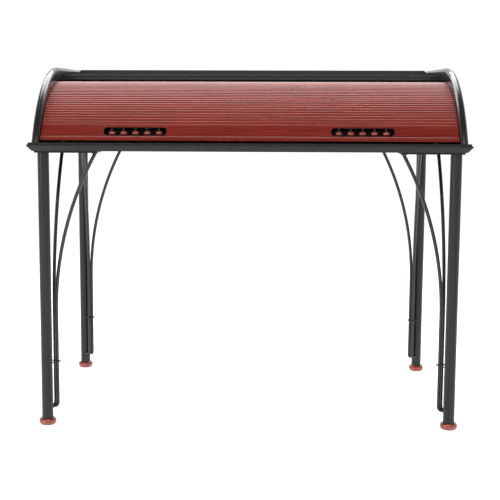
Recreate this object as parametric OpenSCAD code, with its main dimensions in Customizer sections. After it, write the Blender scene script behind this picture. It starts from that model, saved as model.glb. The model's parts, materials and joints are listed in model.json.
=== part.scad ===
// Roll top desk: a shallow cylinder-top case on four round legs.
// Millimetres, +Z up, front towards -Y, origin on the floor under the middle of the desk top.

/* [Desk top] */
// Width of the desk top over its end mouldings
desk_w = 1134; // [900:1:1500]
// Depth of the desk top over its front and back mouldings
desk_d = 740; // [600:1:900]
// Height of the writing surface
top_z = 750; // [680:1:820]
// Thickness of the desk top
top_t = 22; // [18:0.5:30]

/* [Edge moulding] */
// Radius of the bead along the edge
bead_r = 3.2; // [2:0.1:5]
// Depth of the bead's middle below the top surface
bead_drop = 7.2; // [6:0.1:9]
// How far the flat above the bead stands back from it
step_in = 3; // [2:0.5:6]
// Size of the quirk groove above the bead
quirk = 1.1; // [0.8:0.1:2]
// How far the undercut goes in below the bead
undercut_in = 12; // [8:1:20]

/* [Gables] */
// Thickness of a gable
gable_t = 21; // [19:0.5:26]
// Inset of a gable's outer face from the end of the desk top
gable_inset = 9; // [8:1:40]
// Setback of a gable's foot from the front edge of the desk top
gable_setback = 15; // [10:1:60]
// Setback of a gable's back edge from the back edge of the desk top
gable_back = 30; // [10:1:60]
// Height of the gables above the writing surface
case_h = 198; // [190:1:260]
// Radius of the gable's front curve
rim_r = 377; // [300:1:450]
// Radius of the outer edge of the rim
rim_round = 11; // [6:0.5:12]
// Radius of the inner edge of the rim
rim_inner = 9; // [3:0.5:9]

/* [Top and back] */
// Drop of the top board below the gables
top_board_drop = 15; // [15:0.5:30]
// Thickness of the top board
top_board_t = 18; // [16:0.5:24]
// How far the face of the top board stands back below its bead
top_board_under = 1; // [0.8:0.1:12]
// Distance from the front edge of the desk top to the top board
top_board_setback = 400; // [340:1:440]
// Thickness of the back panel and of the rail on it
back_t = 12; // [9:0.5:18]
// Distance from the back panel to the rail in front of it
back_rail_in = 35; // [20:1:80]
// Thickness of the curved inner back
inner_back_t = 4; // [3:0.5:6]
// Number of staves that the curved inner back is glued up from
stave_count = 4; // [3:1:8]
// Bevel on the ends of the back rail
rail_bevel = 8; // [3:0.5:12]

/* [Tambour] */
// Radius of the curtain's outer face
track_r = 358.5; // [340:0.5:380]
// Gap between the curtain's crown and the top board
crown_gap = 6.5; // [2:0.5:9]
// Distance from the front edge of the desk top to the curtain's foot
curtain_setback = 28; // [18:1:40]
// Spacing of the slats round the curve
slat_pitch = 10.3; // [8:0.1:14]
// Joint between two slats
slat_joint = 0.5; // [0.4:0.1:1]
// Thickness of a slat
slat_t = 7; // [6:0.5:10]
// Radius of a slat's rounded face
slat_round = 6.6; // [6:0.1:12]
// Thickness of the canvas that joins the slats
canvas_t = 1; // [0.8:0.1:2]
// Thickness of the tongues that run in the grooves
tongue_t = 4; // [3:0.5:5]
// Length of the tongues
tongue_l = 8; // [6:0.5:10]
// Clearance of the tongues in the grooves
groove_gap = 0.5; // [0.4:0.1:1]
// Clearance of the curtain's ends from the gables
end_gap = 1; // [0.6:0.1:2]

/* [Lift rail] */
// Height of the lift rail round the curve
rail_h = 46.5; // [44:0.5:60]
// Thickness of the lift rail
rail_t = 30; // [28:0.5:36]
// Gap under the lift rail when closed
rail_gap = 5; // [3:0.5:8]
// Radius of the bead along the foot of the rail
rail_bead_r = 6.5; // [5:0.1:8]
// How far that bead stands out of the rail's face
rail_bead_out = 2.6; // [1:0.1:4]

/* [Grips] */
// Distance between the middles of the two grips
grip_spacing = 585; // [400:1:700]
// Width of a grip's recess
grip_w = 164; // [120:1:200]
// Height of a grip's recess
grip_h = 21; // [18:0.5:22]
// Depth of a grip's recess at its middle
grip_depth = 24; // [22:0.5:25]
// Wall of the black cup in the recess
cup_t = 1.2; // [0.8:0.1:2]
// Number of small posts in a grip
post_count = 5; // [3:1:6]
// Spacing of the small posts
post_pitch = 30.5; // [24:0.5:34]
// Diameter of a small post
post_d = 9; // [6:0.5:10]
// Diameter of a small post's bun foot
bun_d = 20; // [14:0.5:21]
// Height of a small post's bun foot
bun_h = 10; // [6:0.5:11]

/* [Legs] */
// Diameter of a leg
leg_d = 30; // [26:1:40]
// Inset of the leg axes from the ends of the desk top
leg_inset_x = 35; // [32:1:60]
// Inset of the front leg axes from the front edge
leg_inset_front = 45; // [36:1:80]
// Inset of the back leg axes from the back edge
leg_inset_back = 45; // [36:1:80]
// Diameter of a bun foot
foot_d = 47; // [38:1:56]
// Height of a bun foot
foot_h = 17; // [14:0.5:24]
// Diameter of the foot's spigot
spigot_d = 12; // [8:1:16]
// Length of the foot's spigot
spigot_l = 25; // [15:1:40]

/* [Rods] */
// Diameter of the bent rods
rod_d = 9.5; // [6:0.5:10]
// Distance from a leg's axis to the middle of its pair of rods
pair_out = 30; // [28:0.5:36]
// Gap between the two rods of a pair
pair_gap = 0.6; // [0.4:0.1:2]
// Height of the rods' lower ends
rod_low_z = 46; // [40:1:90]
// Radius of the bend at a rod's lower end
rod_bend_r = 8; // [7:0.5:12]
// Height at which the rods start to curve
rod_curve_z = 300; // [200:1:400]
// Reach of the sideways rods at the top
rod_reach_x = 109; // [80:1:140]
// Reach of the backward and forward rods at the top
rod_reach_y = 128; // [80:1:150]
// Turn of each rod's plane towards the middle of the desk
rod_fan = 2.5; // [0:0.5:5]
// Depth that the rods go into a leg
rod_seat = 7; // [5:0.5:9]
// Depth that the staples go into a leg
staple_seat = 5; // [3:0.5:7]
// Diameter of the staple wire
staple_d = 3; // [2:0.5:4]
// Height of the staples
staple_z = 166; // [120:1:250]

/* [Corner plates] */
// Thickness of a corner plate
plate_t = 5; // [3:0.5:8]
// Margin of a corner plate outside the leg axis
plate_margin = 20; // [16:1:22]
// How far a corner plate goes past the top of its sideways rod
plate_past_x = 4; // [3:0.5:40]
// How far a corner plate goes past the top of its backward or forward rod
plate_past_y = 6; // [3:0.5:40]
// Diameter of the plate screws' shanks
screw_d = 4.5; // [4:0.5:6]
// Length of the plate screws
screw_l = 20; // [16:1:22]

/* [Small parts] */
// Number of dowels under each gable
dowel_count = 4; // [2:1:6]
// Diameter of the case dowels
dowel_d = 8; // [6:1:10]
// Depth of a dowel in the desk top and in the gable
dowel_depth = 14; // [10:1:16]
// Diameter of the felt bumpers
bumper_d = 12; // [8:1:16]
// Gap between the bumpers and the closed lift rail
bumper_gap = 0.4; // [0.3:0.1:1]

/* [Hidden] */
$fn = 96;
eps = 0.01;
fit = 0.1;
big = 2000;
spare_a = 5;
arris = 0.8;
SIDES = [-1, 1];

under_z = top_z - top_t;
crown_z = top_z + case_h;
front_y = -desk_d / 2;
back_y = desk_d / 2;

gable_out = desk_w / 2 - gable_inset;
gable_in = gable_out - gable_t;
gable_front_y = front_y + gable_setback;
gable_back_y = back_y - gable_back;
rim_z = crown_z - rim_r;
rim_y = gable_front_y + sqrt(rim_r * rim_r - (top_z - rim_z) * (top_z - rim_z));

top_board_z = crown_z - top_board_drop;
top_board_y = front_y + top_board_setback;
case_in = gable_in - end_gap;
back_panel_y = gable_back_y - back_t;
back_rail_y = back_panel_y - back_rail_in;

track_z = top_board_z - top_board_t - crown_gap - track_r;
curtain_y = front_y + curtain_setback;
foot_rise = top_z + rail_gap - track_z;
track_y = curtain_y + sqrt(track_r * track_r - foot_rise * foot_rise);
rail_a0 = asin(foot_rise / track_r);
deg_per_mm = 180 / (PI * track_r);
tail_lap = 6;
canvas_gap = 6;
glue_line_a = 0.03;
canvas_inset = 12;
rail_a1 = rail_a0 + rail_h * deg_per_mm;
rail_end_a = rail_a1 - slat_joint * deg_per_mm;
slat_step = slat_pitch * deg_per_mm;
tail_a = 90 + asin((top_board_y + tail_lap - track_y) / track_r);
slat_count = floor((tail_a - rail_a1) / slat_step);
slat_w = (slat_pitch - slat_joint) * (track_r - slat_t) / track_r;
slat_back_r = track_r - slat_t;
canvas_r = slat_back_r - canvas_t;
inner_back_r = canvas_r - canvas_gap;
rail_back_r = track_r - rail_t;

grip_lift = 4.4;
post_gap = 0.6;
cup_back = 0.3;
bun_middle = 0.42;
bun_edge = 0.6;
grip_z = track_z + track_r * sin((rail_a0 + rail_a1) / 2) + grip_lift;
grip_face_y = track_y - sqrt(track_r * track_r - (grip_z - track_z) * (grip_z - track_z));
grip_back_y = grip_face_y + grip_depth;
post_y = grip_back_y - cup_t - bun_d / 2 - post_gap;
post_low_z = grip_z - grip_h / 2 + cup_t;
post_h = grip_h - 2 * cup_t - bun_h;

leg_x = desk_w / 2 - leg_inset_x;
leg_front_y = front_y + leg_inset_front;
leg_back_y = back_y - leg_inset_back;
plate_z = under_z - plate_t;
pair_half = (rod_d + pair_gap) / 2;
rod_rise = plate_z - rod_curve_z;
rod_spare_a = 2;
rod_start = (pair_out + pair_half) * cos(45);
plate_w = plate_margin + rod_start + rod_reach_x + rod_top_half(rod_reach_x) + plate_past_x;
plate_d = plate_margin + rod_start + rod_reach_y + rod_top_half(rod_reach_y) + plate_past_y;
seat_gap = 1;
rod_foot_l = pair_out - rod_bend_r - leg_d / 2 + rod_seat - seat_gap;
staple_gap = 0.3;
staple_r = pair_half + rod_d / 2 + staple_d / 2 + staple_gap;
staple_end_x = sqrt(leg_d * leg_d / 4 - staple_r * staple_r) - staple_seat;
foot_middle = 0.5;
foot_edge = 0.62;
screw_inset = 12;
screw_head_t = 2.4;
screw_near = screw_inset - plate_margin;
screw_far_x = plate_w - plate_margin - screw_inset;
screw_far_y = plate_d - plate_margin - screw_inset;
dowel_inset = 45;
dowel_out = 2.5;
bumper_inset = 60;
bumper_in = 6;
bead_turn = 0.35;
rail_quirk = 1;
rail_quirk_in = 1.4;

LEGS = [["front_left", -1, -1], ["front_right", 1, -1], ["back_left", -1, 1], ["back_right", 1, 1]];

// Radius of a rod's long curve, which starts upright and reaches in by the given length
function curve_radius(reach) = (rod_rise * rod_rise + reach * reach) / (2 * reach);

// Half the length of a rod's slanting cut at its top
function rod_top_half(reach) = rod_d / 2 * curve_radius(reach) / (curve_radius(reach) - reach);

// ---- shared shapes ----

// Extrudes a (y, z) outline along X, centred
module along_x(length) {
    rotate([90, 0, 90])
        translate([0, 0, -length / 2])
            linear_extrude(length)
                children();
}

// Extrudes an (x, z) outline along Y, centred
module along_y(length) {
    rotate([90, 0, 0])
        translate([0, 0, -length / 2])
            linear_extrude(length)
                children();
}

// Moves a radial outline, +X outwards, to an angle above the horizontal on the curtain's circle
module at_angle(a) {
    translate([track_y, track_z])
        rotate(180 - a)
            children();
}

// What a round corner takes off a square one
module corner_cut(r) {
    difference() {
        square(r + 1);
        circle(r);
    }
}

// The moulded edge, nose at x = 0: flat, quirk, bead and a face that falls back to low_in
module moulded_edge(thick, length, low_in) {
    difference() {
        union() {
            polygon([
                [step_in + arris, 0],
                [step_in, -arris],
                [step_in, -bead_drop + bead_r / 2],
                [bead_r * 0.3, -bead_drop - bead_r * 0.7],
                [low_in, -thick],
                [length, -thick],
                [length, 0]
            ]);
            translate([bead_r, -bead_drop])
                circle(bead_r);
        }
        translate([-eps, -bead_drop + bead_r - quirk / 2])
            square([step_in + quirk, quirk]);
    }
}

// Outline between two moulded edges, middle at x = 0
module moulded_board(thick, span, low_in) {
    for (s = [0, 1])
        mirror([s, 0])
            translate([-span / 2, 0])
                moulded_edge(thick, span / 2 + eps, low_in);
}

// ---- case ----

module desk_top() {
    color("#2f2d2e")
        difference() {
            translate([0, 0, top_z])
                intersection() {
                    along_x(desk_w + 10)
                        moulded_board(top_t, desk_d, undercut_in);
                    along_y(desk_d + 10)
                        moulded_board(top_t, desk_w, undercut_in);
                }
            dowel_places()
                translate([0, 0, top_z - dowel_depth - 1])
                    cylinder(d = dowel_d + 2 * fit, h = dowel_depth + 2);
            screw_places()
                translate([0, 0, under_z - 1])
                    cylinder(d = screw_d + 2 * fit, h = screw_l - plate_t + 2);
        }
}

// Section of a gable near its rim: x is outwards from the curve's centre, y is the thickness
module rim_section(reach) {
    difference() {
        square([reach, gable_t]);
        translate([reach - rim_round, gable_t - rim_round])
            corner_cut(rim_round);
        translate([reach - rim_inner, rim_inner])
            mirror([0, 1])
                corner_cut(rim_inner);
    }
}

// The gable on one side, with its inner face at gable_in
module gable(side) {
    color("#343233")
        difference() {
            translate([side * gable_in, 0, 0]) {
                intersection() {
                    translate([0, rim_y, rim_z])
                        rotate([side > 0 ? 180 : 0, -90, 0])
                            rotate_extrude()
                                rim_section(rim_r);
                    translate([-big / 2, rim_y - big, top_z])
                        cube([big, big, big]);
                }
                translate([0, (rim_y + gable_back_y) / 2, top_z])
                    along_y(gable_back_y - rim_y)
                        rotate(90)
                            mirror([0, side > 0 ? 1 : 0])
                                rim_section(case_h);
            }
            groove(side);
            dowel_places()
                translate([0, 0, top_z - 1])
                    cylinder(d = dowel_d + 2 * fit, h = dowel_depth + 2);
        }
}

// The circular groove for the tongues, cut into a gable's inner face
module groove(side) {
    translate([side * (gable_in - 1), track_y, track_z])
        rotate([0, 90 * side, 0])
            rotate_extrude()
                translate([slat_back_r - groove_gap, 0])
                    square([tongue_t + 2 * groove_gap, tongue_l + 1 + groove_gap]);
}

module gable_left() {
    gable(-1);
}

module gable_right() {
    gable(1);
}

module top_board() {
    color("#333132")
        translate([0, top_board_y, top_board_z])
            along_x(2 * gable_in)
                moulded_edge(top_board_t, back_panel_y - top_board_y, top_board_under);
}

module back_panel() {
    color("#2c2a2b")
        translate([-gable_in, back_panel_y, top_z])
            cube([2 * gable_in, back_t, top_board_z - top_z]);
}

module back_rail() {
    bevel = min(rail_bevel, top_board_drop / 2);
    color("#333132")
        translate([0, back_rail_y + back_t / 2, 0])
            along_y(back_t)
                polygon([
                    [-gable_in, top_board_z],
                    [gable_in, top_board_z],
                    [gable_in, crown_z - bevel],
                    [gable_in - bevel, crown_z],
                    [-gable_in + bevel, crown_z],
                    [-gable_in, crown_z - bevel]
                ]);
}

// A thin curved panel, glued up from staves, that hides the curtain's tail from inside the desk
module inner_back() {
    foot_a = 180 - asin((top_z - track_z) / inner_back_r);
    stave_a = (foot_a - tail_a) / stave_count;
    color("#3a3634")
        for (k = [0 : stave_count - 1])
            along_x(2 * gable_in)
                intersection() {
                    ring_part(
                        inner_back_r - inner_back_t,
                        inner_back_r,
                        tail_a + k * stave_a,
                        tail_a + (k + 1) * stave_a - (k < stave_count - 1 ? glue_line_a : -spare_a)
                    );
                    translate([track_y, top_z])
                        square([big, big]);
                }
}

module dowel_places() {
    first_y = gable_front_y + dowel_inset;
    step_y = (gable_back_y - dowel_inset - first_y) / (dowel_count - 1);
    for (side = SIDES)
        for (k = [0 : dowel_count - 1])
            translate([side * (gable_in + gable_t / 2 + dowel_out), first_y + k * step_y, 0])
                children();
}

module case_dowels() {
    color("#c9a26b")
        dowel_places()
            translate([0, 0, top_z - dowel_depth])
                cylinder(d = dowel_d, h = 2 * dowel_depth);
}

// Felt pads on the desk top where the closed lift rail comes down
module bumpers() {
    color("#1b1b1c")
        for (side = SIDES)
            translate([side * (gable_in - bumper_inset), curtain_y + bumper_d / 2 + bumper_in, top_z])
                cylinder(d = bumper_d, h = rail_gap - bumper_gap);
}

// ---- legs ----

// Moves a piece drawn for a leg at the origin, with the desk towards +X and +Y, to one corner
module at_leg(sx, sy) {
    translate([sx * leg_x, sy < 0 ? leg_front_y : leg_back_y, 0])
        mirror([sx > 0 ? 1 : 0, 0, 0])
            mirror([0, sy > 0 ? 1 : 0, 0])
                children();
}

module leg() {
    color("#4a4849")
        difference() {
            translate([0, 0, foot_h])
                cylinder(d = leg_d, h = plate_z - foot_h);
            translate([0, 0, foot_h - 1])
                cylinder(d = spigot_d + 2 * fit, h = spigot_l + 2);
            rotate(45)
                for (s = SIDES) {
                    translate([leg_d / 2 - rod_seat, s * pair_half, rod_low_z])
                        rotate([0, 90, 0])
                            cylinder(d = rod_d + 2 * fit, h = leg_d);
                    translate([staple_end_x, s * staple_r, staple_z])
                        rotate([0, 90, 0])
                            cylinder(d = staple_d + 2 * fit, h = leg_d);
                }
        }
}

// A turned bun with a flat base and a spigot that goes up into the leg
module foot() {
    color("#8e3a33")
        rotate_extrude() {
            intersection() {
                translate([0, foot_h * foot_middle])
                    bun_outline(foot_d / 2, foot_h * foot_edge);
                square([foot_d, foot_h]);
            }
            translate([0, foot_h - eps])
                square([spigot_d / 2, spigot_l]);
        }
}

// Flattened round outline: a straight middle with a round edge of the given half height
module bun_outline(reach, half) {
    translate([0, -half])
        square([reach - half, 2 * half]);
    translate([reach - half, 0])
        circle(half);
}

// A rod: seat in the leg, bend, straight run and the long curve up to the plate
module rod(s, reach) {
    curve_r = curve_radius(reach);
    sweep = asin(rod_rise / curve_r);
    turn = s > 0 ? rod_fan - 45 : 45 - rod_fan;
    color("#3b2f2c")
        rotate(45)
            translate([pair_out, -s * pair_half, 0]) {
                difference() {
                    translate([0, 0, rod_curve_z])
                        rotate(turn)
                            translate([curve_r, 0, 0])
                                rotate([90, 0, 180])
                                    rotate_extrude(angle = sweep + rod_spare_a, $fn = 720)
                                        translate([curve_r, 0])
                                            rotate(turn)
                                                circle(d = rod_d, $fn = 48);
                    translate([-big / 2, -big / 2, plate_z])
                        cube([big, big, big]);
                }
                translate([0, 0, rod_low_z + rod_bend_r])
                    cylinder(d = rod_d, h = rod_curve_z - rod_low_z - rod_bend_r, $fn = 48);
                translate([-rod_bend_r, 0, rod_low_z + rod_bend_r])
                    rotate([90, 0, 0])
                        rotate(-90)
                            rotate_extrude(angle = 90)
                                translate([rod_bend_r, 0])
                                    circle(d = rod_d, $fn = 48);
                translate([-rod_bend_r, 0, rod_low_z])
                    rotate([0, -90, 0])
                        cylinder(d = rod_d, h = rod_foot_l, $fn = 48);
            }
}

// U of wire that holds a pair of rods to the leg
module staple() {
    color("#2b2526")
        rotate(45)
            translate([pair_out, 0, staple_z]) {
                rotate(-90)
                    rotate_extrude(angle = 180)
                        translate([staple_r, 0])
                            circle(d = staple_d, $fn = 32);
                for (s = SIDES)
                    translate([0, s * staple_r, 0])
                        rotate([0, -90, 0])
                            cylinder(d = staple_d, h = pair_out - staple_end_x - seat_gap, $fn = 32);
            }
}

module corner_plate() {
    color("#262425")
        difference() {
            translate([-plate_margin, -plate_margin, plate_z])
                cube([plate_w, plate_d, plate_t]);
            plate_screw_places()
                translate([0, 0, plate_z - 1])
                    cylinder(d = screw_d + 2 * fit, h = plate_t + 2);
        }
}

// The four screws of a plate drawn for a leg at the origin
module plate_screw_places() {
    for (place = [
        [screw_near, leg_d / 2 + screw_inset],
        [screw_far_x, screw_near],
        [screw_near, screw_far_y],
        [screw_far_x, screw_far_y]
    ])
        translate(place)
            children();
}

module screw_places() {
    for (leg_place = LEGS)
        at_leg(leg_place[1], leg_place[2])
            plate_screw_places()
                children();
}

module plate_screws() {
    color("#1f1e1f")
        screw_places() {
            translate([0, 0, plate_z - screw_head_t])
                cylinder(d = 2 * screw_d, h = screw_head_t);
            translate([0, 0, plate_z - eps])
                cylinder(d = screw_d, h = screw_l);
        }
}

// ---- curtain ----

// Part of a ring about the curtain's axis, between two angles
module ring_part(r0, r1, a0, a1) {
    translate([track_y, track_z])
        intersection() {
            difference() {
                circle(r1, $fn = 360);
                circle(r0, $fn = 360);
            }
            polygon([
                [0, 0],
                [-2 * r1 * cos(a0), 2 * r1 * sin(a0)],
                [-2 * r1 * cos((a0 + a1) / 2), 2 * r1 * sin((a0 + a1) / 2)],
                [-2 * r1 * cos(a1), 2 * r1 * sin(a1)]
            ]);
        }
}

// The rail's outline: a curved board cut level at the foot, with a bead under a quirk
module rail_outline() {
    bead_a = rail_a0 + 2 * rail_bead_r * deg_per_mm;
    difference() {
        union() {
            ring_part(rail_back_r, track_r, rail_a0 - spare_a, rail_end_a);
            at_angle((rail_a0 + bead_a) / 2 + bead_turn)
                translate([track_r + rail_bead_out - rail_bead_r, 0])
                    circle(rail_bead_r);
        }
        translate([track_y - big, top_z + rail_gap - big])
            square([2 * big, big]);
        at_angle(bead_a + bead_turn)
            translate([track_r - rail_quirk_in, -rail_quirk / 2])
                square([2 * rail_quirk_in, rail_quirk]);
    }
}

module grip_outline(trim) {
    w = grip_w - 2 * trim;
    h = grip_h - 2 * trim;
    square([w - h, h], center = true);
    for (s = SIDES)
        translate([s * (w - h) / 2, 0])
            circle(h / 2);
}

// A level stadium-shaped space that runs from in front of the rail to the given depth
module grip_space(trim, depth) {
    translate([0, grip_face_y - 40, grip_z])
        rotate([-90, 0, 0])
            linear_extrude(40 + depth)
                grip_outline(trim);
}

module lift_rail() {
    color("#84302a")
        difference() {
            union() {
                along_x(2 * case_in)
                    rail_outline();
                along_x(2 * (case_in + tongue_l))
                    difference() {
                        ring_part(slat_back_r, slat_back_r + tongue_t, rail_a0 - spare_a, rail_end_a);
                        translate([track_y - big, top_z + rail_gap - big])
                            square([2 * big, big]);
                    }
            }
            for (side = SIDES)
                translate([side * grip_spacing / 2, 0, 0])
                    grip_space(0, grip_depth);
        }
}

// One slat's outline: flat back, round face
module slat_outline() {
    intersection() {
        translate([track_r - slat_round, 0])
            circle(slat_round);
        translate([slat_back_r, -slat_w / 2])
            square([slat_t, slat_w]);
    }
}

module slats() {
    color("#a5564c")
        for (k = [0 : slat_count - 1]) {
            a = rail_a1 + (k + 0.5) * slat_step;
            along_x(2 * case_in)
                at_angle(a)
                    slat_outline();
            for (side = SIDES)
                translate([side * (case_in + tongue_l / 2 - eps), 0, 0])
                    along_x(tongue_l)
                        at_angle(a)
                            translate([slat_back_r, -slat_w / 2])
                                square([tongue_t, slat_w]);
        }
}

module canvas() {
    color("#4b3a33")
        along_x(2 * (case_in - canvas_inset))
            ring_part(canvas_r, slat_back_r, rail_a1, rail_a1 + slat_count * slat_step);
}

// Black cup that lines a grip's recess and follows the rail's face
module grip_cup(side) {
    color("#141314")
        translate([side * grip_spacing / 2, 0, 0])
            intersection() {
                difference() {
                    grip_space(fit, grip_depth - fit);
                    grip_space(cup_t, grip_depth - cup_t);
                }
                along_x(grip_w + 10)
                    ring_part(rail_back_r, track_r - cup_back, rail_a0 - spare_a, rail_a1);
            }
}

module post_places(side) {
    for (k = [0 : post_count - 1])
        translate([
            side * grip_spacing / 2 + (k - (post_count - 1) / 2) * post_pitch,
            post_y,
            post_low_z
        ])
            children();
}

module grip_posts(side) {
    color("#161516")
        intersection() {
            post_places(side)
                translate([0, 0, bun_h])
                    cylinder(d = post_d, h = post_h, $fn = 48);
            along_x(desk_w)
                ring_part(rail_back_r, track_r + rail_t, rail_a0 - spare_a, rail_end_a);
        }
}

module grip_buns(side) {
    color("#8e3a33")
        post_places(side)
            rotate_extrude($fn = 64)
                intersection() {
                    translate([0, bun_h * bun_middle])
                        bun_outline(bun_d / 2, bun_h * bun_edge);
                    square([bun_d, bun_h]);
                }
}

// ---- drawing ----

desk_top();
gable_left();
gable_right();
top_board();
back_panel();
back_rail();
inner_back();
case_dowels();
plate_screws();
bumpers();
at_leg(-1, -1) leg();  // leg_front_left
at_leg(1, -1) leg();  // leg_front_right
at_leg(-1, 1) leg();  // leg_back_left
at_leg(1, 1) leg();  // leg_back_right
at_leg(-1, -1) foot();  // foot_front_left
at_leg(1, -1) foot();  // foot_front_right
at_leg(-1, 1) foot();  // foot_back_left
at_leg(1, 1) foot();  // foot_back_right
at_leg(-1, -1) corner_plate();  // plate_front_left
at_leg(1, -1) corner_plate();  // plate_front_right
at_leg(-1, 1) corner_plate();  // plate_back_left
at_leg(1, 1) corner_plate();  // plate_back_right
at_leg(-1, -1) rod(1, rod_reach_x);  // side_rod_front_left
at_leg(1, -1) rod(1, rod_reach_x);  // side_rod_front_right
at_leg(-1, 1) rod(1, rod_reach_x);  // side_rod_back_left
at_leg(1, 1) rod(1, rod_reach_x);  // side_rod_back_right
at_leg(-1, -1) rod(-1, rod_reach_y);  // depth_rod_front_left
at_leg(1, -1) rod(-1, rod_reach_y);  // depth_rod_front_right
at_leg(-1, 1) rod(-1, rod_reach_y);  // depth_rod_back_left
at_leg(1, 1) rod(-1, rod_reach_y);  // depth_rod_back_right
at_leg(-1, -1) staple();  // staple_front_left
at_leg(1, -1) staple();  // staple_front_right
at_leg(-1, 1) staple();  // staple_back_left
at_leg(1, 1) staple();  // staple_back_right
lift_rail();
slats();
canvas();
grip_cup(-1);  // grip_cup_left
grip_cup(1);  // grip_cup_right
grip_posts(-1);  // grip_posts_left
grip_posts(1);  // grip_posts_right
grip_buns(-1);  // grip_buns_left
grip_buns(1);  // grip_buns_right
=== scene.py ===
import json
import math
import random
import bmesh
import bpy
from mathutils import Matrix, Vector


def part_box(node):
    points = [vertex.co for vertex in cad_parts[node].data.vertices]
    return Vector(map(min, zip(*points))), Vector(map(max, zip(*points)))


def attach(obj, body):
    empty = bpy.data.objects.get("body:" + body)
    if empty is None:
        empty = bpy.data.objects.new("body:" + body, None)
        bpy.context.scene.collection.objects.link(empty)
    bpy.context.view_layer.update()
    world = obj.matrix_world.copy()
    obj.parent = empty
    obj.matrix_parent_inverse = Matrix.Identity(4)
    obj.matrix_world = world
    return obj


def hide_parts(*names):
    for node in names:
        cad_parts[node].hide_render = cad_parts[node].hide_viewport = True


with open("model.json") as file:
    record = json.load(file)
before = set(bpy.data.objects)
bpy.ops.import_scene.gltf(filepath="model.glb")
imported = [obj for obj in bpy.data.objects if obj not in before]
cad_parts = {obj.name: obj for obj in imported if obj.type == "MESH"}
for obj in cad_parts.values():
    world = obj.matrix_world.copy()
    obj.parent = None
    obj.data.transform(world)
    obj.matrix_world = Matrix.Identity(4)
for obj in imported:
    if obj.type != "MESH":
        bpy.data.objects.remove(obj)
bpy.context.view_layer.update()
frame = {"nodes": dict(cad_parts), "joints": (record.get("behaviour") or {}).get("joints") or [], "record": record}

scene = bpy.context.scene
scene.view_settings.view_transform = "Standard"  # plain white stays white, as on a studio sweep
mm = 0.001


# ---- camera ----

viewPoint = {
    "lens": 81.68,  # mm on a 36 mm sensor
    "place": (0.0394, -3.2517, 0.8683),
    "downwards": 7.651,  # degrees below the level
    "turn": 2.030,
    "roll": 0.174,
    "shift": (0.0535, -0.0026),
}


def setUpCamera():
    camera = bpy.data.objects.new("camera", bpy.data.cameras.new("camera"))
    scene.collection.objects.link(camera)
    camera.data.sensor_width = 36
    camera.data.lens = viewPoint["lens"]
    camera.data.shift_x, camera.data.shift_y = viewPoint["shift"]
    camera.matrix_world = (
        Matrix.Translation(viewPoint["place"])
        @ Matrix.Rotation(math.radians(viewPoint["turn"]), 4, "Z")
        @ Matrix.Rotation(math.radians(90 - viewPoint["downwards"]), 4, "X")
        @ Matrix.Rotation(math.radians(viewPoint["roll"]), 4, "Z")
    )
    scene.camera = camera


setUpCamera()
print("camera: set")


# ---- shader helpers ----

def linear(hexColour):  # sRGB hex to the linear colour that the shaders use
    parts = [int(hexColour[i:i + 2], 16) / 255 for i in (1, 3, 5)]
    return [c / 12.92 if c <= 0.04045 else ((c + 0.055) / 1.055) ** 2.4 for c in parts] + [1]


def addNode(tree, kind, inputs=None, stops=None, **settings):
    # Adds a node with its settings; an input is a value, or a node or socket to link from
    made = tree.nodes.new("ShaderNode" + kind)
    for name, value in settings.items():
        setattr(made, name, value)
    for name, value in (inputs or {}).items():
        if isinstance(value, bpy.types.Node):
            value = value.outputs[0]
        if isinstance(value, bpy.types.NodeSocket):
            tree.links.new(value, made.inputs[name])
        else:
            made.inputs[name].default_value = value
    for i, (place, hexColour) in enumerate(stops or []):
        marks = made.color_ramp.elements
        mark = marks[i] if i < len(marks) else marks.new(place)
        mark.position, mark.color = place, linear(hexColour)
    return made


def startMaterial(name, **constants):
    # A material with one Principled shader whose unlinked sockets hold the given constants
    material = bpy.data.materials.new(name)
    material.use_nodes = True
    tree = material.node_tree
    shader = tree.nodes["Principled BSDF"]
    for socket, value in constants.items():
        shader.inputs[socket.replace("_", " ")].default_value = value
    return material, tree, shader


def connect(tree, shader, **links):
    for socket, source in links.items():
        source = source.outputs[0] if isinstance(source, bpy.types.Node) else source
        tree.links.new(source, shader.inputs[socket.replace("_", " ")])


def stretched(tree, along, longMm, wideMm, offset=None):
    # Noise drawn out along the axes named in along: streaks of the given length and width
    place = addNode(tree, "TexCoord").outputs["Object"]
    if offset is not None:
        place = addNode(tree, "VectorMath", {0: place, 1: offset}, operation="ADD")
    scale = [1 / (wideMm * mm)] * 3
    for axis in along:
        scale["XYZ".index(axis)] = 1 / (longMm * mm)
    flat = addNode(tree, "Mapping", {"Vector": place, "Scale": scale})
    return addNode(tree, "TexNoise", {"Vector": flat, "Scale": 1, "Detail": 5, "Roughness": 0.6})


def cloudy(tree, sizeMm, detail=4):
    place = addNode(tree, "TexCoord").outputs["Object"]
    return addNode(tree, "TexNoise", {"Vector": place, "Scale": 1 / (sizeMm * mm), "Detail": detail})


def shiftFor(tree, island, step):
    # A shift along X that differs from one separate solid to the next, so no two share their grain
    shift = addNode(tree, "Math", {0: island, 1: step}, operation="MULTIPLY")
    return addNode(tree, "CombineXYZ", {"X": shift})


def between(tree, source, low, high, fromLow=0.3, fromHigh=0.7):
    return addNode(tree, "MapRange", {
        "Value": source, "From Min": fromLow, "From Max": fromHigh, "To Min": low, "To Max": high})


def bumpFrom(tree, height, depthMm, strength=1.0, under=None):
    inputs = {"Height": height, "Distance": depthMm * mm, "Strength": strength}
    if under is not None:
        inputs["Normal"] = under
    return addNode(tree, "Bump", inputs)


# ---- wood finishes ----

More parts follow.
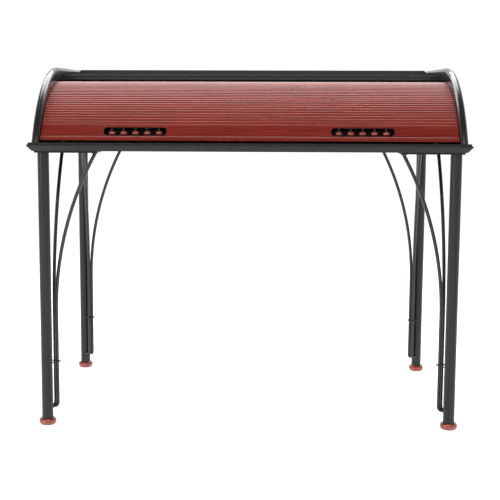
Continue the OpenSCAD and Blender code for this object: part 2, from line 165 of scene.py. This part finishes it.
ebonised = {
    "deep": "#0a090a", "open": "#161415",
    "roughness": (0.23, 0.3),
    "grainLong": 90, "grainWide": 1.8,  # ash pores are 0.3 mm wide; drawn wider so that they show
    "poreDepth": 0.04, "sprayRipple": 9, "rippleDepth": 0.03, "rubbedPatch": 60,  # mm
    "caseShine": (1.47, 0.3),  # IOR and coat of the lacquer on the case
    "topShine": (1.35, 0.15),  # the desk top is rubbed down duller
}


def ebonisedAsh(name, along, shine):
    # Ash dyed black and sprayed with lacquer: near black, clear soft reflections, faint pores
    material, tree, shader = startMaterial(name, IOR=shine[0], Coat_Weight=shine[1], Coat_Roughness=0.1)
    pores = stretched(tree, along, ebonised["grainLong"], ebonised["grainWide"])
    colour = addNode(tree, "ValToRGB", {"Fac": pores}, [(0.35, ebonised["deep"]), (0.7, ebonised["open"])])
    ripple = bumpFrom(tree, cloudy(tree, ebonised["sprayRipple"], 2), ebonised["rippleDepth"])
    relief = bumpFrom(tree, pores, ebonised["poreDepth"], 0.5, ripple)
    connect(tree, shader, Base_Color=colour, Normal=relief,
            Roughness=between(tree, cloudy(tree, ebonised["rubbedPatch"]), *ebonised["roughness"]))
    return material


legFinish = {
    "deep": "#0b0a0a", "open": "#292526",
    "roughness": (0.22, 0.42),
    "grainLong": 260, "grainWide": 2.6,
    "poreDepth": 0.05,
}


def satinBlackBeech():
    # Turned beech under satin black lacquer: upright streaks and a soft sheen
    material, tree, shader = startMaterial(
        "satinLacqueredBlackBeech", IOR=1.36, Coat_Weight=0.1, Coat_Roughness=0.2)
    streaks = stretched(tree, "Z", legFinish["grainLong"], legFinish["grainWide"])
    colour = addNode(tree, "ValToRGB", {"Fac": streaks},
                     [(0.35, legFinish["deep"]), (0.68, legFinish["open"])])
    connect(tree, shader, Base_Color=colour, Normal=bumpFrom(tree, streaks, legFinish["poreDepth"], 0.6),
            Roughness=between(tree, streaks, *legFinish["roughness"]))
    return material


redStain = {
    "streak": "#43110c", "body": "#781f16", "light": "#922f22",
    "roughness": (0.28, 0.38),
    "grainLong": 130, "grainWide": 1.6, "shiftReach": 7.0,
    "poreDepth": 0.05,
    "slatTone": (0.86, 1.14),  # each slat takes the stain a little differently
    "railTone": (0.9, 0.9),
    "lacquer": "#ffb9a8",  # the lacquer itself is tinted, so its highlights are warm
}


def redStainedWood(name, toneSpread):
    # Maple stained red and lacquered satin: long fine streaks under a clear coat
    material, tree, shader = startMaterial(name, IOR=1.45, Specular_Tint=linear(redStain["lacquer"]))
    island = addNode(tree, "NewGeometry").outputs["Random Per Island"]
    shift = shiftFor(tree, island, redStain["shiftReach"])
    streaks = stretched(tree, "X", redStain["grainLong"], redStain["grainWide"], shift)
    stain = addNode(tree, "ValToRGB", {"Fac": streaks},
                    [(0.3, redStain["streak"]), (0.5, redStain["body"]), (0.75, redStain["light"])])
    tone = between(tree, island, *toneSpread, 0, 1)
    colour = addNode(tree, "HueSaturation", {"Color": stain, "Value": tone})
    connect(tree, shader, Base_Color=colour, Normal=bumpFrom(tree, streaks, redStain["poreDepth"], 0.5),
            Roughness=between(tree, streaks, *redStain["roughness"]))
    return material


turned = {
    "deep": "#6a1b13", "body": "#9c3a29",
    "roughness": (0.1, 0.2),
    "ringLong": 90, "ringWide": 1.2,  # mm, marks of the turning tool; drawn wider so that they show
    "ringDepth": 0.03, "shadeSize": 8,
}


def glossyTurnedRed():
    # Maple turned on a lathe, stained red, high gloss: sharp highlights and faint rings
    material, tree, shader = startMaterial(
        "glossyTurnedRedMaple", IOR=1.5, Coat_Weight=1.0, Coat_Roughness=0.05)
    rings = stretched(tree, "XY", turned["ringLong"], turned["ringWide"])
    colour = addNode(tree, "ValToRGB", {"Fac": rings}, [(0.3, turned["deep"]), (0.65, turned["body"])])
    connect(tree, shader, Base_Color=colour, Normal=bumpFrom(tree, rings, turned["ringDepth"], 0.4),
            Roughness=between(tree, cloudy(tree, turned["shadeSize"]), *turned["roughness"]))
    return material


stave = {
    "face": "#1c1918", "faceOpen": "#2c2624", "edge": "#3d322c",
    "growthRing": 1.3,  # mm; the real rings are finer
    "grainLong": 120, "grainWide": 2.2, "grainDepth": 0.06, "shiftReach": 3.0,
}


def stainedStaves(axisY, axisZ):
    # Thin poplar staves glued to a curve and stained black: growth rings show along their edges
    material, tree, shader = startMaterial("stainedPoplarStaves", Roughness=0.5, IOR=1.45)
    island = addNode(tree, "NewGeometry").outputs["Random Per Island"]
    shift = shiftFor(tree, island, stave["shiftReach"])
    grain = stretched(tree, "X", stave["grainLong"], stave["grainWide"], shift)
    face = addNode(tree, "ValToRGB", {"Fac": grain}, [(0.35, stave["face"]), (0.7, stave["faceOpen"])])
    point = addNode(tree, "TexCoord").outputs["Object"]
    place = addNode(tree, "VectorMath", {0: point, 1: (0, axisY, axisZ)}, operation="SUBTRACT")
    across = addNode(tree, "VectorMath", {0: place, 1: (0, 1, 1)}, operation="MULTIPLY")
    radius = addNode(tree, "VectorMath", {0: across}, operation="LENGTH").outputs["Value"]
    layer = addNode(tree, "Math", {0: radius, 1: 1 / (stave["growthRing"] * mm)}, operation="MULTIPLY")
    stripe = addNode(tree, "Math", {0: layer, 1: 1.0}, operation="PINGPONG")
    ring = between(tree, stripe, 0, 0.6, 0.4, 0.6)
    colour = addNode(tree, "MixRGB", {"Fac": ring, "Color1": face, "Color2": linear(stave["edge"])})
    connect(tree, shader, Base_Color=colour, Normal=bumpFrom(tree, grain, stave["grainDepth"], 0.6))
    return material


dowel = {
    "pith": "#a87c4c", "body": "#d2ad7c",
    "fleckLong": 9, "fleckWide": 0.9, "fleckDepth": 0.05,  # mm
}


def bareBeech():
    # Machined beech dowel, no finish: pale, dry, with short flecks
    material, tree, shader = startMaterial("machinedBareBeech", Roughness=0.65)
    flecks = stretched(tree, "Z", dowel["fleckLong"], dowel["fleckWide"])
    colour = addNode(tree, "ValToRGB", {"Fac": flecks}, [(0.35, dowel["pith"]), (0.65, dowel["body"])])
    connect(tree, shader, Base_Color=colour, Normal=bumpFrom(tree, flecks, dowel["fleckDepth"]))
    return material


# ---- metal finishes ----

rodFinish = {
    "deep": "#120d0c", "body": "#211815", "worn": "#382a25",
    "roughness": (0.16, 0.28),
    "mottle": 14, "drawLong": 70, "drawWide": 1.0, "drawDepth": 0.03,  # mm
}


def brownLacqueredSteel():
    # Cold drawn steel rod, bent and dipped in brown lacquer: uneven film, faint draw lines
    material, tree, shader = startMaterial(
        "dippedBrownLacqueredSteel", IOR=1.42, Metallic=0.1, Coat_Weight=0.3, Coat_Roughness=0.08)
    mottle = cloudy(tree, rodFinish["mottle"], 6)
    drawn = stretched(tree, "Z", rodFinish["drawLong"], rodFinish["drawWide"])
    colour = addNode(tree, "ValToRGB", {"Fac": mottle},
                     [(0.3, rodFinish["deep"]), (0.55, rodFinish["body"]), (0.78, rodFinish["worn"])])
    connect(tree, shader, Base_Color=colour, Normal=bumpFrom(tree, drawn, rodFinish["drawDepth"], 0.6),
            Roughness=between(tree, mottle, *rodFinish["roughness"]))
    return material


plateFinish = {
    "deep": "#161516", "open": "#2b292a",
    "roughness": (0.38, 0.6),
    "scalePatch": 18, "pit": 2.5, "pitDepth": 0.05,  # mm
}


def blackenedPlate():
    # Hot rolled steel plate, blackened: cloudy scale, dull sheen
    material, tree, shader = startMaterial("blackenedRolledSteel", Metallic=0.7)
    scale = cloudy(tree, plateFinish["scalePatch"], 7)
    colour = addNode(tree, "ValToRGB", {"Fac": scale},
                     [(0.3, plateFinish["deep"]), (0.7, plateFinish["open"])])
    pits = bumpFrom(tree, cloudy(tree, plateFinish["pit"]), plateFinish["pitDepth"], 0.5)
    connect(tree, shader, Base_Color=colour, Normal=pits,
            Roughness=between(tree, scale, *plateFinish["roughness"]))
    return material


screwFinish = {
    "skin": "#1d1c1d", "rubbed": "#5a5757",
    "roughness": (0.28, 0.5),
    "rubSize": 1.6,  # mm
}


def oxidisedScrewSteel():
    # Screw steel with a black oxide skin: dark, a little shiny, lighter where a driver has rubbed
    material, tree, shader = startMaterial("blackOxideScrewSteel", Metallic=0.9)
    rubbed = cloudy(tree, screwFinish["rubSize"], 5)
    colour = addNode(tree, "ValToRGB", {"Fac": rubbed},
                     [(0.45, screwFinish["skin"]), (0.8, screwFinish["rubbed"])])
    connect(tree, shader, Base_Color=colour, Roughness=between(tree, rubbed, *screwFinish["roughness"]))
    return material


postFinish = {
    "deep": "#060606", "open": "#0d0c0c",
    "roughness": (0.08, 0.16),
    "ripple": 5, "rippleDepth": 0.02,  # mm
}


def glossBlackLacquer():
    # Turned posts in high gloss black lacquer: mirror-like, with the faintest ripple
    material, tree, shader = startMaterial("highGlossBlackLacquer", IOR=1.27)
    ripple = cloudy(tree, postFinish["ripple"], 2)
    colour = addNode(tree, "ValToRGB", {"Fac": ripple},
                     [(0.4, postFinish["deep"]), (0.6, postFinish["open"])])
    connect(tree, shader, Base_Color=colour, Normal=bumpFrom(tree, ripple, postFinish["rippleDepth"], 0.4),
            Roughness=between(tree, ripple, *postFinish["roughness"]))
    return material


cupPaintAndRecessShade = {
    # painted shade: these near-black colours stand for the cups' black paint and also for the shade inside the
    # grip recess
    "deep": "#030303", "open": "#0b0a0a",
    "roughness": (0.6, 0.8),
    "dust": 1.2, "dustDepth": 0.05,  # mm
}


def mattBlackPaintWithPaintedShade():
    # Sprayed matt black paint inside the grip cups, with painted shade: the colour is darker than paint, so it
    # also stands in for the shade in the recess; a fine dust of overspray
    material, tree, shader = startMaterial("mattBlackPaintWithPaintedRecessShade", IOR=1.3)
    dust = cloudy(tree, cupPaintAndRecessShade["dust"], 6)
    colour = addNode(tree, "ValToRGB", {"Fac": dust}, [(0.4, cupPaintAndRecessShade["deep"]), (0.75, cupPaintAndRecessShade["open"])])
    connect(tree, shader, Base_Color=colour, Normal=bumpFrom(tree, dust, cupPaintAndRecessShade["dustDepth"], 0.5),
            Roughness=between(tree, dust, *cupPaintAndRecessShade["roughness"]))
    return material


# ---- cloth finishes ----

weave = {
    "warp": "#4a3c33", "weft": "#3a2e28", "glue": "#241c18",
    "threadSpacing": 1.4,  # the real threads are 0.6 mm apart; drawn coarser so that they show
    "threadDepth": 0.25, "glueSpot": 30,  # mm
}


def gluedCanvas():
    # Plain woven cotton canvas, glued: dull, threads crossing, darker where glue came through
    material, tree, shader = startMaterial("wovenGluedCotton", Roughness=0.9, Sheen_Weight=0.15)
    flat = addNode(tree, "UVMap", uv_map="clothMetres")
    turns = 1 / (weave["threadSpacing"] * mm) / 20  # a wave texture draws 20 radians for each unit
    wave = {"Vector": flat, "Scale": turns * math.pi, "Distortion": 0.3, "Detail": 1}
    lines = [addNode(tree, "TexWave", wave, bands_direction=axis) for axis in "XY"]
    check = addNode(tree, "MixRGB", {"Fac": 0.5, "Color1": lines[0], "Color2": lines[1]})
    threads = addNode(tree, "ValToRGB", {"Fac": check}, [(0.2, weave["weft"]), (0.7, weave["warp"])])
    soaked = between(tree, cloudy(tree, weave["glueSpot"]), 0, 0.7, 0.5, 0.7)
    colour = addNode(tree, "MixRGB", {"Fac": soaked, "Color1": threads, "Color2": linear(weave["glue"])})
    connect(tree, shader, Base_Color=colour, Normal=bumpFrom(tree, check, weave["threadDepth"]))
    return material


feltFinish = {
    "deep": "#101011", "open": "#2c2c2e",
    "fibre": 0.9, "fibreDepth": 0.3,  # mm; real fibres are far finer
}


def pressedFelt():
    # Pressed wool felt: matt, fuzzy, no thread to see
    material, tree, shader = startMaterial("pressedBlackWoolFelt", Roughness=1.0, Sheen_Weight=0.4)
    fibres = cloudy(tree, feltFinish["fibre"], 8)
    colour = addNode(tree, "ValToRGB", {"Fac": fibres},
                     [(0.3, feltFinish["deep"]), (0.75, feltFinish["open"])])
    connect(tree, shader, Base_Color=colour, Normal=bumpFrom(tree, fibres, feltFinish["fibreDepth"]))
    return material


# ---- finishes on the CAD nodes ----

curtainJoint = frame["joints"][0]
axisY, axisZ = curtainJoint["pos_m"][1:]

finishes = {
    "ebonised_wood": ebonisedAsh("lacqueredEbonisedAshBoards", "X", ebonised["caseShine"]),
    "stained_staves": stainedStaves(axisY, axisZ),
    "dowel_wood": bareBeech(),
    "screw_steel": oxidisedScrewSteel(),
    "felt": pressedFelt(),
    "leg_lacquer": satinBlackBeech(),
    "red_turned_wood": glossyTurnedRed(),
    "plate_steel": blackenedPlate(),
    "rod_steel": brownLacqueredSteel(),
    "red_stained_wood": redStainedWood("lacqueredRedMapleSlats", redStain["slatTone"]),
    "canvas": gluedCanvas(),
    "gloss_black": glossBlackLacquer(),
}
ownFinishes = {
    "lift_rail": redStainedWood("lacqueredRedMapleRail", redStain["railTone"]),
}
ownFinishes["grip_cup_left"] = ownFinishes["grip_cup_right"] = mattBlackPaintWithPaintedShade()
gableFinish = ebonisedAsh("lacqueredEbonisedAshGables", "Y", ebonised["caseShine"])
ownFinishes["gable_left"] = ownFinishes["gable_right"] = gableFinish
ownFinishes["desk_top"] = ebonisedAsh("rubbedEbonisedAshTop", "X", ebonised["topShine"])

for row in frame["record"]["subparts"]:
    finish = ownFinishes.get(row["node"], finishes[row["material_slot"]])
    for holder in frame["nodes"][row["node"]].material_slots:
        holder.material = finish
print("finishes:", len({finish.name for finish in [*finishes.values(), *ownFinishes.values()]}))


# ---- pieces made here ----

def addPiece(name, mesh, slotName, body):
    piece = bpy.data.objects.new(name, mesh)
    scene.collection.objects.link(piece)
    piece.data.materials.append(finishes[slotName])
    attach(piece, body)
    return piece


def smoothMesh(name, shape):
    mesh = bpy.data.meshes.new(name)
    shape.to_mesh(mesh)
    shape.free()
    for face in mesh.polygons:
        face.use_smooth = True
    return mesh


def looseParts(cadNode):
    # The low and high corners of each separate solid in one CAD node
    shape = bmesh.new()
    shape.from_mesh(frame["nodes"][cadNode].data)
    bmesh.ops.remove_doubles(shape, verts=shape.verts, dist=0.01 * mm)
    left, parts = set(shape.verts), []
    while left:
        todo, part = [left.pop()], []
        while todo:
            vertex = todo.pop()
            part.append(vertex.co.copy())
            for edge in vertex.link_edges:
                other = edge.other_vert(vertex)
                if other in left:
                    left.remove(other)
                    todo.append(other)
        low = Vector(map(min, *part))
        high = Vector(map(max, *part))
        parts.append((low, high))
    shape.free()
    return sorted(parts, key=lambda ends: tuple(round(v, 5) for v in ends[0]))


canvasCloth = {
    "threadBow": 0.15,  # mm that the cloth bows in where two slats meet
    "thick": 0.8,
    "rowsForSlat": 6,
    "columns": 120,
}


def makeCanvas():
    # The cloth behind the slats, one row of cells after another round the curtain's circle
    points = [vertex.co for vertex in frame["nodes"]["canvas"].data.vertices]
    radii = [math.hypot(p.y - axisY, p.z - axisZ) for p in points]
    turns = [math.atan2(p.z - axisZ, axisY - p.y) for p in points]
    middle, first, last = (min(radii) + max(radii)) / 2, min(turns), max(turns)
    low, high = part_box("canvas")
    slatCount = len(looseParts("slats"))
    rows, columns = slatCount * canvasCloth["rowsForSlat"], canvasCloth["columns"]
    shape = bmesh.new()
    flatPlace = shape.loops.layers.uv.new("clothMetres")
    grid = []
    for i in range(rows + 1):
        turn = first + (last - first) * i / rows
        bow = canvasCloth["threadBow"] * mm * abs(math.cos(math.pi * i / canvasCloth["rowsForSlat"])) ** 6
        radius = middle - bow
        grid.append([shape.verts.new((low.x + (high.x - low.x) * j / columns,
                                      axisY - radius * math.cos(turn), axisZ + radius * math.sin(turn)))
                     for j in range(columns + 1)])
    for i in range(rows):
        for j in range(columns):
            face = shape.faces.new((grid[i][j], grid[i + 1][j], grid[i + 1][j + 1], grid[i][j + 1]))
            for loop, (di, dj) in zip(face.loops, ((0, 0), (1, 0), (1, 1), (0, 1))):
                loop[flatPlace].uv = ((high.x - low.x) * (j + dj) / columns,
                                      middle * (last - first) * (i + di) / rows)
    cloth = addPiece("canvasCloth", smoothMesh("canvasCloth", shape), "canvas", "curtain")
    thicken = cloth.modifiers.new("thickness", "SOLIDIFY")
    thicken.thickness, thicken.offset = canvasCloth["thick"] * mm, 0
    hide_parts("canvas")


makeCanvas()
print("canvas: woven sheet behind the slats")


feltPad = {
    "crown": 0.5,  # mm that the middle stands up
    "crownReach": 0.45, "crownFall": 0.3,  # shares of the radius and of the crown
    "edgeRound": 1.4,
    "footIn": 0.3, "footRise": 0.6,  # mm, a soft lower edge
    "frayed": 0.12,
    "steps": 40, "seed": 4,
}


def latheMesh(name, outline, steps, centre, jitter=0, seed=0):
    # Turns (radius, height) points about an upright line through centre, with closed ends
    chance = random.Random(seed)
    shape = bmesh.new()
    rings = []
    for radius, height in outline:
        if radius == 0:
            rings.append([shape.verts.new(centre + Vector((0, 0, height)))])
            continue
        rings.append([])
        for k in range(steps):
            turn = 2 * math.pi * k / steps
            reach = radius + chance.uniform(-jitter, jitter)
            point = Vector((reach * math.cos(turn), reach * math.sin(turn), height))
            rings[-1].append(shape.verts.new(centre + point))
    for below, above in zip(rings, rings[1:]):
        for k in range(steps):
            corners = [below[k % len(below)], below[(k + 1) % len(below)],
                       above[(k + 1) % len(above)], above[k % len(above)]]
            unique = list(dict.fromkeys(corners))
            if len(unique) > 2:
                shape.faces.new(unique)
    bmesh.ops.recalc_face_normals(shape, faces=shape.faces)
    return smoothMesh(name, shape)


def makeFeltPads():
    low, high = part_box("bumpers")
    radius, thick = (high.y - low.y) / 2, high.z - low.z
    edge = feltPad["edgeRound"] * mm
    crown = feltPad["crown"] * mm
    outline = [(0, 0), (radius - feltPad["footIn"] * mm, 0), (radius, feltPad["footRise"] * mm),
               (radius, thick - crown - edge)]
    outline += [(radius - edge + edge * math.cos(a), thick - crown - edge + edge * math.sin(a))
                for a in (math.radians(t) for t in (30, 60, 90))]
    outline += [(radius * feltPad["crownReach"], thick - crown * feltPad["crownFall"]), (0, thick)]
    for name, x in (("feltPadLeft", low.x + radius), ("feltPadRight", high.x - radius)):
        centre = Vector((x, (low.y + high.y) / 2, low.z))
        shape = latheMesh(name, outline, feltPad["steps"], centre, feltPad["frayed"] * mm, feltPad["seed"])
        pad = addPiece(name, shape, "felt", "case")
        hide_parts("bumpers")


makeFeltPads()
print("felt pads: two")


screw = {
    "headThick": 2.4,  # mm, as in the design
    "slot": (5.4, 1.0, 2.2),  # mm, one arm of the cross recess, half of its depth in the head
    "slotTurn": 0.4, "turnForEach": 9,  # radians, and radians for each metre along X
    "dome": ((0.45, 0.12), (0.75, 0.45), (0.94, 1.05), (1.0, 1.7)),  # share of the radius, mm of height
    "threadPitch": 1.8, "threadDeep": 0.45, "threadStart": 1.2, "plainTip": 2.0,
    "steps": 24, "crease": 40,
}


def makeScrews():
    # Pan head screws driven up through the plates: domed head, cross recess, wood thread
    parts = looseParts("plate_screws")
    whole = bmesh.new()
    for low, high in parts:
        centre = Vector(((low.x + high.x) / 2, (low.y + high.y) / 2, low.z))
        headR = (high.x - low.x) / 2
        shankR, length = headR / 2, high.z - low.z
        headT = screw["headThick"] * mm
        outline = [(0, 0)] + [(headR * share, height * mm) for share, height in screw["dome"]]
        outline += [(headR, headT), (shankR, headT)]
        turns = int((length - headT - screw["plainTip"] * mm) / (screw["threadPitch"] * mm))
        for k in range(turns):
            foot = headT + (screw["threadStart"] + k * screw["threadPitch"]) * mm
            core = shankR - screw["threadDeep"] * mm
            outline += [(core, foot), (shankR, foot + 0.5 * mm), (core, foot + 1.0 * mm)]
        outline += [(0, length)]
        one = bmesh.new()
        one.from_mesh(latheMesh("screw", outline, screw["steps"], centre))
        cutter = bmesh.new()
        for turn in (screw["slotTurn"], screw["slotTurn"] + math.pi / 2):
            swing = Matrix.Rotation(turn + low.x * screw["turnForEach"], 4, "Z")
            size = Matrix.Diagonal((*(side * mm for side in screw["slot"]), 1))
            bmesh.ops.create_cube(cutter, size=1, matrix=Matrix.Translation(centre) @ swing @ size)
        whole.from_mesh(carved(one, cutter))
    heads = addPiece("plateScrews", smoothMesh("plateScrews", whole), "screw_steel", "case")
    sharp = heads.modifiers.new("creases", "EDGE_SPLIT")
    sharp.split_angle = math.radians(screw["crease"])
    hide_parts("plate_screws")
    return len(parts)


def carved(solid, cutter):
    # The solid's mesh with the cutter's taken out of it
    holders = []
    for name, shape in (("solid", solid), ("cutter", cutter)):
        mesh = bpy.data.meshes.new(name)
        shape.to_mesh(mesh)
        shape.free()
        holders.append(bpy.data.objects.new(name, mesh))
        scene.collection.objects.link(holders[-1])
    cut = holders[0].modifiers.new("recess", "BOOLEAN")
    cut.object, cut.operation, cut.solver = holders[1], "DIFFERENCE", "EXACT"
    cut.use_self = True
    bpy.context.view_layer.update()
    made = bpy.data.meshes.new_from_object(holders[0].evaluated_get(bpy.context.evaluated_depsgraph_get()))
    for holder in holders:
        bpy.data.objects.remove(holder)
    return made


print("screws:", makeScrews())


weld = {
    "bead": 2.2,  # mm, half the width of the bead
    "lumps": 0.25,
    "ringSteps": 40, "beadSteps": 10,
    "seed": 12,
}


def makeWelds():
    # A small bead runs round each rod where it meets its plate
    chance = random.Random(weld["seed"])
    shape = bmesh.new()
    ringSteps, beadSteps = weld["ringSteps"], weld["beadSteps"]
    for name, cadNode in sorted(frame["nodes"].items()):
        if "_rod_" not in name:
            continue
        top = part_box(name)[1].z
        rim = [v.co for v in cadNode.data.vertices if abs(v.co.z - top) < 0.01 * mm]
        centre = Vector(((min(p.x for p in rim) + max(p.x for p in rim)) / 2,
                         (min(p.y for p in rim) + max(p.y for p in rim)) / 2, top))
        reachX = (max(p.x for p in rim) - min(p.x for p in rim)) / 2
        reachY = (max(p.y for p in rim) - min(p.y for p in rim)) / 2
        rings = []
        for i in range(ringSteps):
            turn = 2 * math.pi * i / ringSteps
            half = (weld["bead"] + chance.uniform(-1, 1) * weld["lumps"]) * mm
            ring = []
            for k in range(beadSteps + 1):
                tilt = math.pi * k / beadSteps  # from the plate round to the rod
                out, down = half * math.cos(tilt), half * math.sin(tilt)
                ring.append(shape.verts.new(centre + Vector(((reachX + out) * math.cos(turn),
                                                             (reachY + out) * math.sin(turn), -down))))
            rings.append(ring)
        for i in range(ringSteps):
            for k in range(beadSteps):
                following = rings[(i + 1) % ringSteps]
                shape.faces.new((rings[i][k], rings[i][k + 1], following[k + 1], following[k]))
    bmesh.ops.recalc_face_normals(shape, faces=shape.faces)
    addPiece("rodWelds", smoothMesh("rodWelds", shape), "rod_steel", "case")


makeWelds()
print("welds: one at the top of each rod")


# ---- studio ----

studio = {
    "backdrop": 1.06,  # how bright the white sweep looks
    "room": ((0.0, 1.0), (0.3, 0.9), (0.7, 0.25), (1.0, 0.2)),  # height of a direction, and its light
    "floorGlow": 0.72,  # the sweep's floor is lit evenly, so shadows stay faint
    "floorHalf": 30,
    "softboxes": {
        "topBehind": {"place": (-0.2, 1.35, 2.7), "aim": (0, -0.1, 0.85), "size": (3.2, 1.8), "watts": 100},
        "frontAbove": {"place": (0.1, -2.5, 3.2), "aim": (0, -0.2, 0.85), "size": (3.0, 0.6), "watts": 42},
        "frontLeft": {"place": (-2.6, -2.6, 1.3), "aim": (0, 0, 0.6), "size": (0.7, 2.0), "watts": 25},
    },
}


def setUpStudio():
    world = bpy.data.worlds.new("sweep")
    scene.world = world
    world.use_nodes = True
    tree = world.node_tree
    sweep = tree.nodes["Background"]
    sweep.inputs["Color"].default_value = linear("#ffffff")
    sweep.inputs["Strength"].default_value = studio["backdrop"]
    height = addNode(tree, "SeparateXYZ", {0: addNode(tree, "TexCoord").outputs["Generated"]}).outputs["Z"]
    stops = [(place, "#ffffff") for place, light in studio["room"]]
    shade = addNode(tree, "ValToRGB", {"Fac": height}, stops)
    for mark, (place, light) in zip(shade.color_ramp.elements, studio["room"]):
        mark.color = (light, light, light, 1)
    room = addNode(tree, "Background", {"Color": shade})
    seen = addNode(tree, "LightPath").outputs["Is Camera Ray"]
    both = addNode(tree, "MixShader", {0: seen, 1: room, 2: sweep})
    tree.links.new(both.outputs[0], tree.nodes["World Output"].inputs["Surface"])
    for name, facts in studio["softboxes"].items():
        lamp = bpy.data.lights.new(name, "AREA")
        lamp.shape = "RECTANGLE"
        lamp.size, lamp.size_y = facts["size"]
        lamp.energy = facts["watts"]
        holder = bpy.data.objects.new(name, lamp)
        scene.collection.objects.link(holder)
        holder.location = facts["place"]
        aim = Vector(facts["aim"]) - Vector(facts["place"])
        holder.rotation_euler = aim.to_track_quat("-Z", "Y").to_euler()
    half = studio["floorHalf"]
    corners = ((-half, -half), (half, -half), (half, half), (-half, half))
    shape = bmesh.new()
    shape.faces.new([shape.verts.new((x, y, 0)) for x, y in corners])
    floor = bpy.data.objects.new("floor", smoothMesh("floor", shape))
    scene.collection.objects.link(floor)
    paper, tree, shader = startMaterial("mattPaperSweep", Roughness=0.9)
    shader.inputs["Emission Color"].default_value = linear("#ffffff")
    shader.inputs["Emission Strength"].default_value = studio["floorGlow"]
    tone = addNode(tree, "ValToRGB", {"Fac": cloudy(tree, 400)}, [(0.3, "#e8e8e8"), (0.7, "#f0f0f0")])
    connect(tree, shader, Base_Color=tone)
    floor.data.materials.append(paper)


setUpStudio()
print("studio: floor and", len(studio["softboxes"]), "soft lights")
